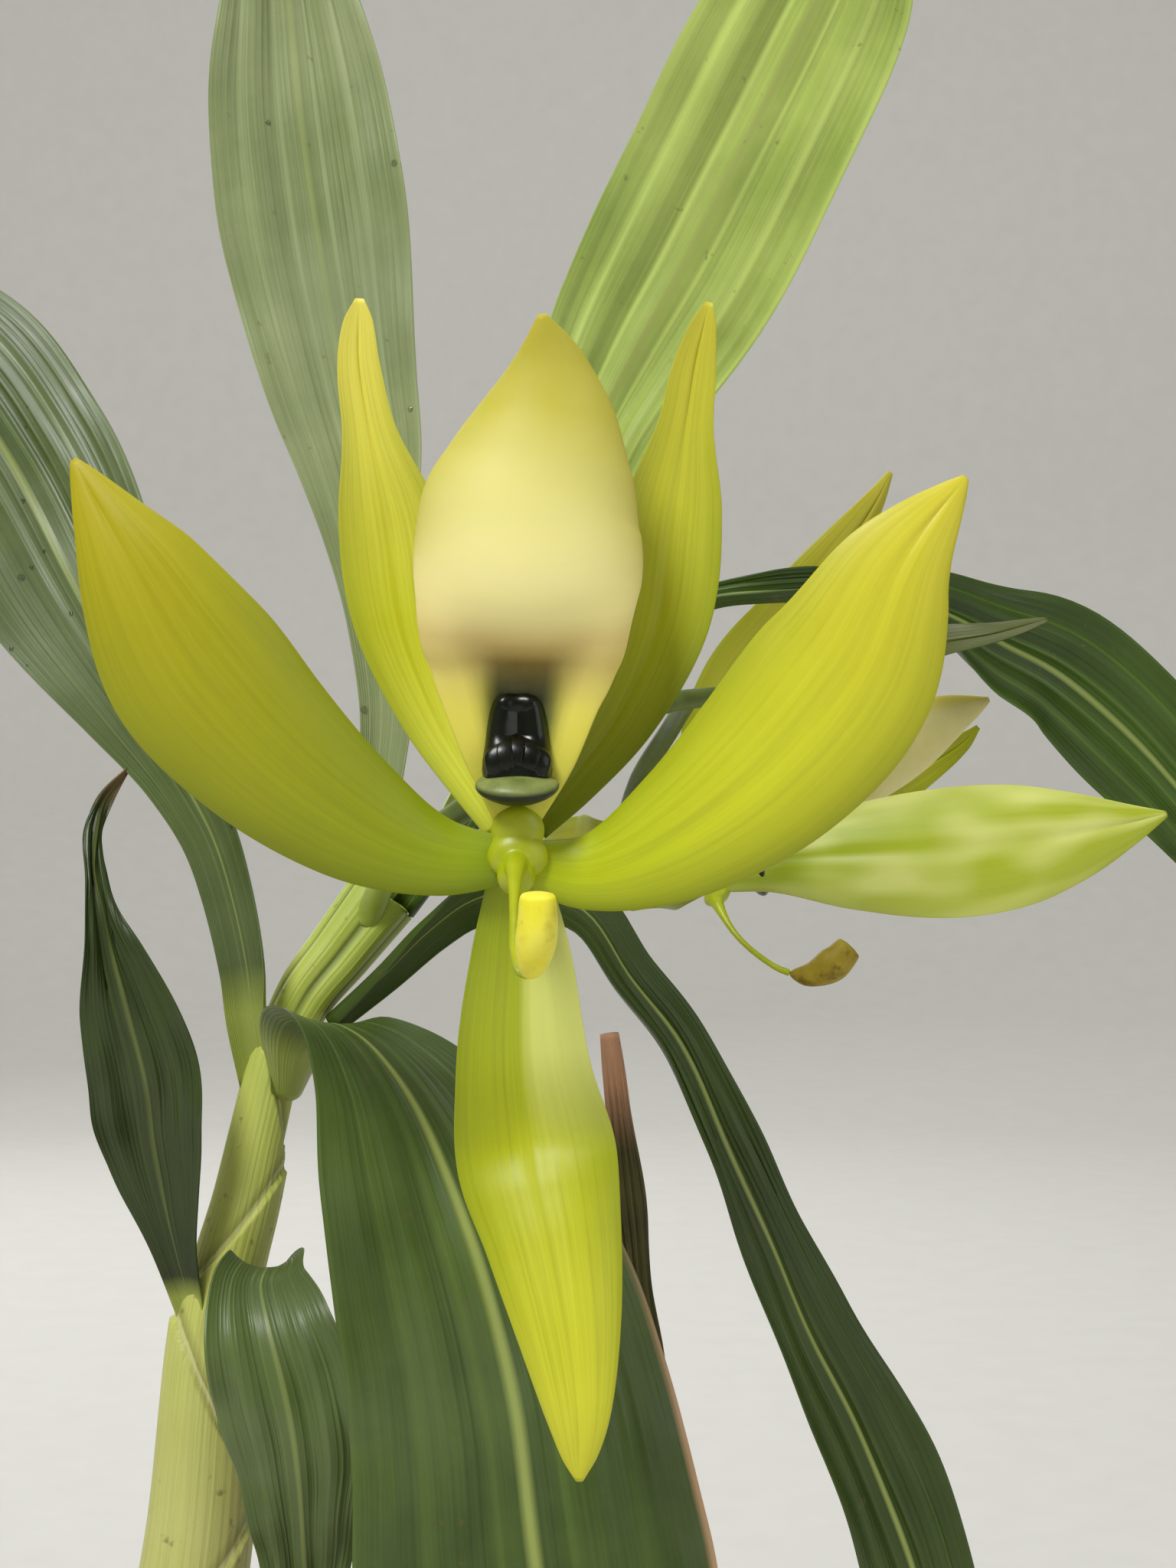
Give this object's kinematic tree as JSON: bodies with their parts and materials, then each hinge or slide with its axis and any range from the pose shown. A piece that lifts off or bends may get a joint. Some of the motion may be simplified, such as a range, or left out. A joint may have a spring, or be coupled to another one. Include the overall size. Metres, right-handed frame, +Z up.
{
  "type": "potted swan orchid",
  "caption": "Potted swan orchid: a leafy cane with long pleated leaves and an arching stalk of green flowers, each with a cream lip above and a swan-necked column.",
  "frame": {"origin": "middle of the pot's flat underside, on the surface it stands on", "axes": "+Z up through the pot; -Y is the side that the front flower faces; +X is to the right when that flower is looked at"},
  "size_m": [0.2724, 0.1603, 0.4733],
  "materials": {
    "terracotta": "unglazed fired clay, faintly mottled and pale at its edges",
    "bark": "rough chipped fir bark",
    "cane": "pale green sheaths with fine long veins and whitish edges",
    "old_bulb": "dull wrinkled brown-green skin",
    "dry_sheath": "torn papery dry sheath",
    "leaf": "pleated green leaf with long parallel veins and a soft grey sheen",
    "stalk": "smooth green stalk",
    "tepal": "waxy yellow-green petal with faint long veins",
    "lip": "waxy cream lip with yellow margins",
    "callus": "glossy black-green",
    "column": "waxy lime green",
    "anther_cap": "smooth yellow"
  },
  "bodies": {
    "root": {"pot": "terracotta", "potting_bark": "bark", "leafy_cane": "cane", "old_bulb": "old_bulb", "dry_sheath": "dry_sheath", "leaf_upper_left": "leaf", "leaf_upper": "leaf", "leaf_upper_right": "leaf", "leaf_right": "leaf", "leaf_lower_left": "leaf", "leaf_arching": "leaf", "leaf_lower_front": "leaf", "leaf_hanging_right": "leaf", "flower_stalk": "stalk", "front_flower_lip": "lip", "front_flower_petal_left": "tepal", "front_flower_petal_right": "tepal", "front_flower_lateral_sepal_left": "tepal", "front_flower_lateral_sepal_right": "tepal", "front_flower_dorsal_sepal": "tepal", "front_flower_callus": "callus", "front_flower_column": "column", "front_flower_anther_cap": "anther_cap", "right_flower_lip": "lip", "right_flower_petal_left": "tepal", "right_flower_petal_right": "tepal", "right_flower_lateral_sepal_left": "tepal", "right_flower_lateral_sepal_right": "tepal", "right_flower_dorsal_sepal": "tepal", "right_flower_callus": "callus", "right_flower_column": "column", "right_flower_anther_cap": "anther_cap"}
  },
  "joints": []
}
